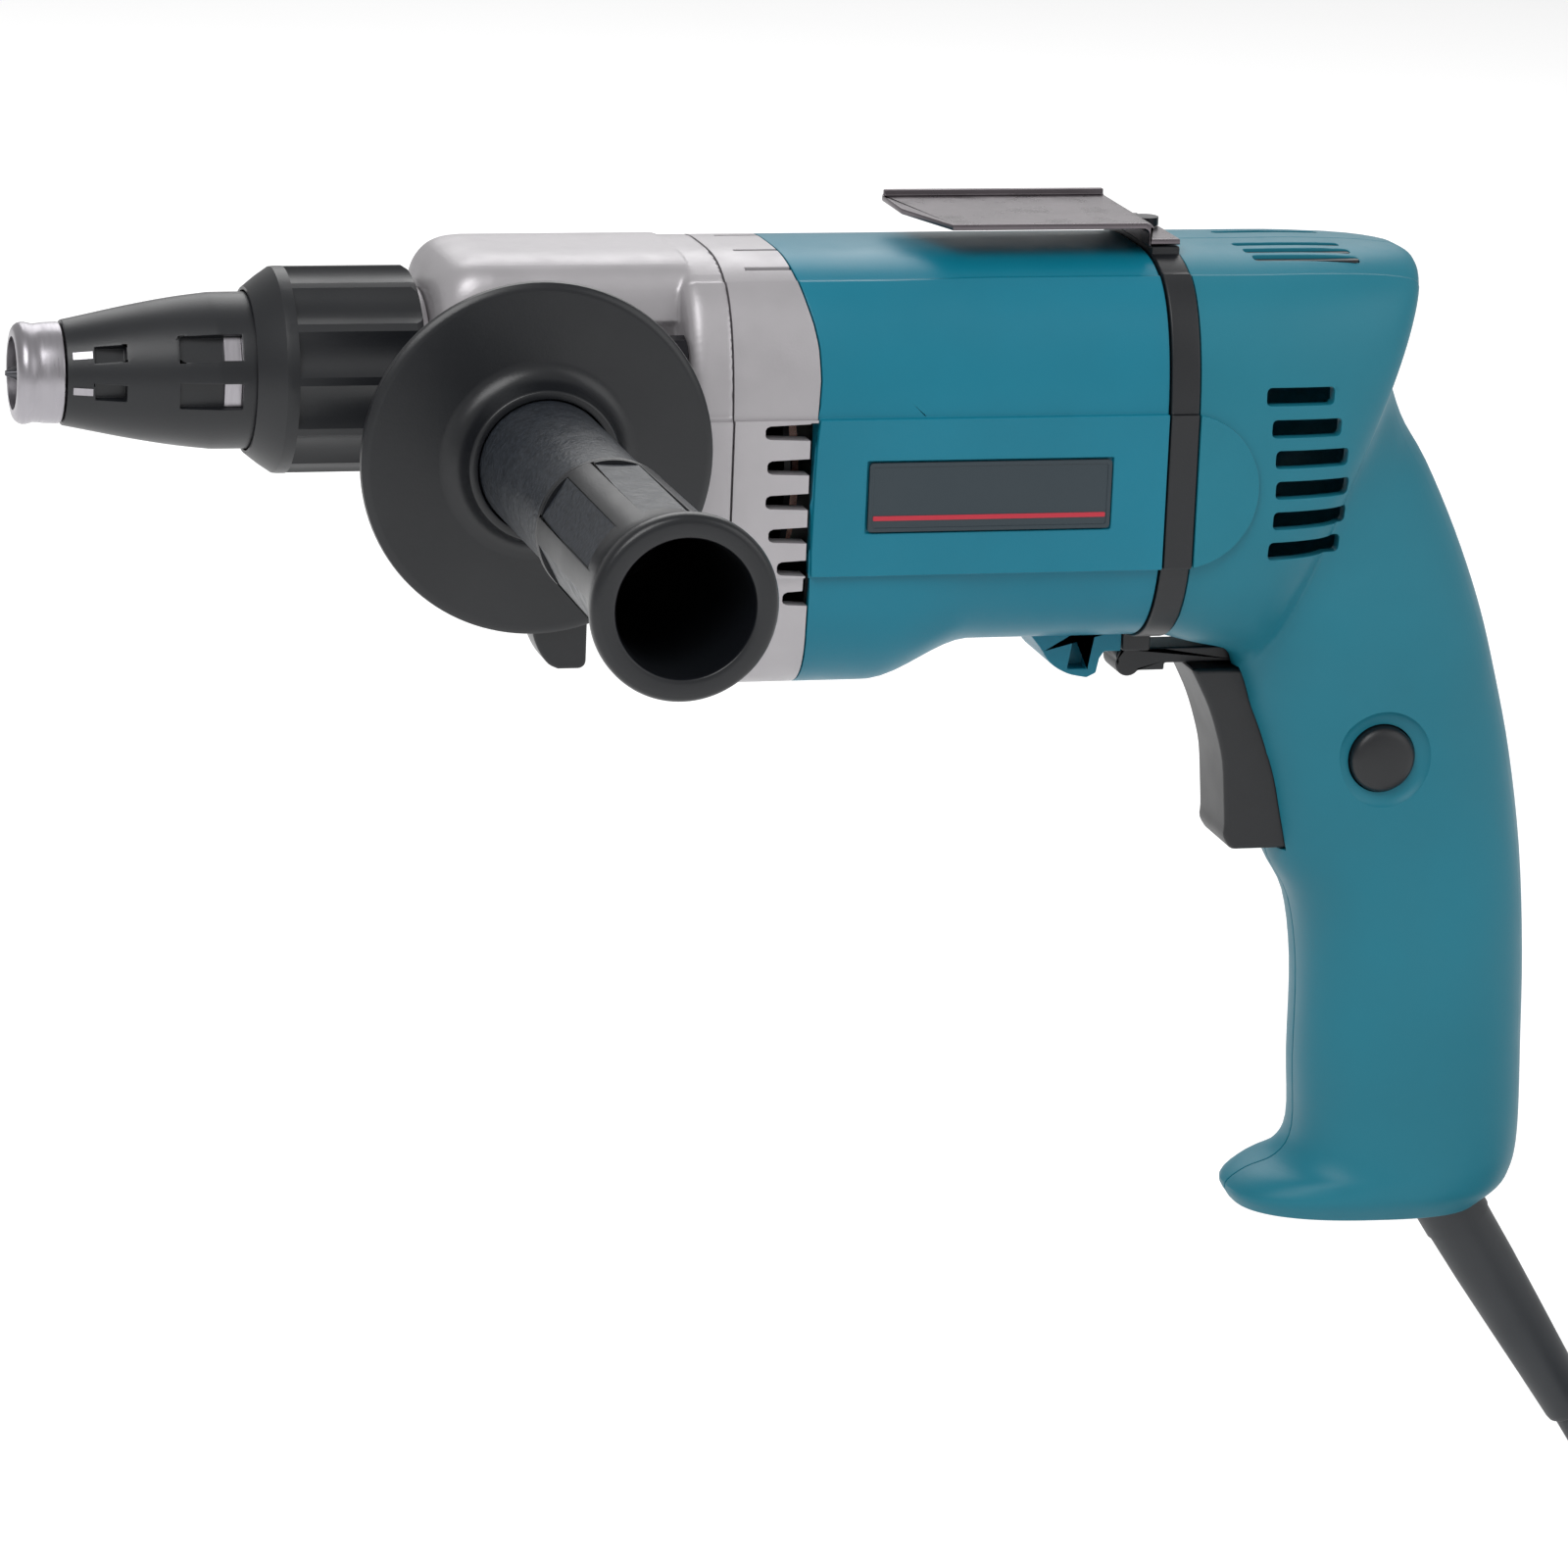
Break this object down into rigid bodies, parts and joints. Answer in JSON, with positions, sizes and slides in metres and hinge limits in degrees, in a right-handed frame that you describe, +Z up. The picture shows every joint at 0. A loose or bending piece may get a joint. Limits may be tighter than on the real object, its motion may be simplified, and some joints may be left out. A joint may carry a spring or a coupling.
{
  "type": "drill driver",
  "caption": "Corded pistol-grip drill driver with a depth-setting nose, windowed cone, side handle with a guard disc, belt hook and wound cord.",
  "frame": {"origin": "middle of the pistol grip", "axes": "-X towards the nose, -Y towards the side handle, +Z up from grip to barrel"},
  "size_m": [0.4606, 0.2255, 0.2919],
  "materials": {
    "cast_aluminium": "painted satin cast aluminium",
    "teal_plastic": "satin moulded plastic",
    "handle_plastic": "satin moulded plastic",
    "plate": "satin plate with a thin stripe",
    "black_plastic": "satin",
    "nose_plastic": "satin",
    "guard_plastic": "fine grained satin",
    "cord_rubber": "matt",
    "hook_steel": "satin",
    "ring_steel": "satin",
    "steel": "ground",
    "dark_steel": "oiled",
    "black_steel": "black oxide",
    "copper": "varnished copper wire",
    "brass": "satin",
    "carbon": "matt"
  },
  "bodies": {
    "tool": {"gear_housing": "cast_aluminium", "bearing_housing": "cast_aluminium", "neck": "cast_aluminium", "motor_housing": "teal_plastic", "handle_left_half": "handle_plastic", "handle_right_half": "handle_plastic", "name_plate": "plate", "hook_band": "black_plastic", "belt_hook": "hook_steel", "hook_screw": "black_steel", "switch_body": "black_plastic", "cord_clamp": "black_plastic", "motor_front_bearing": "steel", "motor_rear_bearing": "steel", "field_core": "dark_steel", "field_coil_upper": "copper", "field_coil_lower": "copper", "fan_baffle": "black_plastic", "brush_holder_left": "brass", "brush_holder_right": "brass", "carbon_brush_left": "carbon", "carbon_brush_right": "carbon", "spindle_bush": "brass", "spindle_bearing_outer": "steel", "hand_guard": "guard_plastic", "side_grip": "guard_plastic", "side_grip_stud": "steel", "cord_guard": "cord_rubber", "cord_lead": "cord_rubber", "cord_coil": "cord_rubber", "cord_tail": "cord_rubber", "cord_tie": "cord_rubber", "plug_body": "cord_rubber", "plug_blade_1": "brass", "plug_blade_2": "brass", "case_screw_1": "black_steel", "handle_screw_1": "black_steel", "case_screw_2": "black_steel", "handle_screw_2": "black_steel", "case_screw_3": "black_steel", "handle_screw_3": "black_steel", "case_screw_4": "black_steel", "handle_screw_4": "black_steel"},
    "armature": {"armature_shaft": "steel", "armature_core": "dark_steel", "armature_winding": "copper", "commutator": "copper", "fan": "black_plastic"},
    "gear": {"drive_gear": "dark_steel", "clutch_spring": "steel"},
    "bearing_ring": {"spindle_bearing_inner": "steel"},
    "spindle_body": {"spindle": "steel"},
    "bit_body": {"bit": "dark_steel"},
    "collar": {"depth_collar": "dark_steel"},
    "sleeve": {"adjusting_sleeve": "nose_plastic"},
    "locator": {"nose_cone": "nose_plastic", "locator_ring": "ring_steel"},
    "trigger_body": {"trigger": "black_plastic"},
    "lever": {"reversing_lever": "black_plastic"},
    "button": {"lock_button": "black_plastic"}
  },
  "joints": [
    {"name": "motor_spin", "type": "hinge", "parent": "tool", "child": "armature", "pos_m": [-0.1, 0, 0.0958], "axis": [1, 0, 0], "continuous": true},
    {"name": "gear_spin", "type": "hinge", "parent": "tool", "child": "gear", "pos_m": [-0.157, 0, 0.115], "axis": [1, 0, 0], "continuous": true},
    {"name": "spindle_spin", "type": "hinge", "parent": "tool", "child": "bearing_ring", "pos_m": [-0.2, 0, 0.115], "axis": [1, 0, 0], "continuous": true},
    {"name": "spindle_push", "type": "slide", "parent": "bearing_ring", "child": "spindle_body", "axis": [1, 0, 0], "range_m": [0, 0.004], "stiffness_N_per_m": 2500, "springref_m": -0.004, "deforming": ["clutch_spring"]},
    {"name": "bit_pull", "type": "slide", "parent": "spindle_body", "child": "bit_body", "axis": [-1, 0, 0], "range_m": [0, 0.03]},
    {"name": "depth_turn", "type": "hinge", "parent": "collar", "child": "sleeve", "pos_m": [-0.22, 0, 0.115], "axis": [1, 0, 0], "range_deg": [-1080, 360]},
    {"name": "depth_travel", "type": "slide", "parent": "tool", "child": "collar", "axis": [1, 0, 0], "range_m": [-0.0045, 0.0015]},
    {"name": "locator_pull", "type": "slide", "parent": "collar", "child": "locator", "axis": [-1, 0, 0], "range_m": [0, 0.03]},
    {"name": "trigger_squeeze", "type": "slide", "parent": "tool", "child": "trigger_body", "axis": [1, 0, 0], "range_m": [0, 0.006], "stiffness_N_per_m": 900, "springref_m": -0.004},
    {"name": "reversing_swing", "type": "hinge", "parent": "tool", "child": "lever", "pos_m": [-0.0385, 0, 0.056], "axis": [0, 0, 1], "range_deg": [-12, 12]},
    {"name": "lock_press", "type": "slide", "parent": "tool", "child": "button", "axis": [0, 1, 0], "range_m": [0, 0.003], "stiffness_N_per_m": 500, "springref_m": -0.002}
  ],
  "couplings": [
    {"joint": "gear_spin", "follows": "motor_spin", "ratio": -0.2},
    {"joint": "depth_turn", "follows": "depth_travel", "rad_per_m": 4188.8}
  ]
}
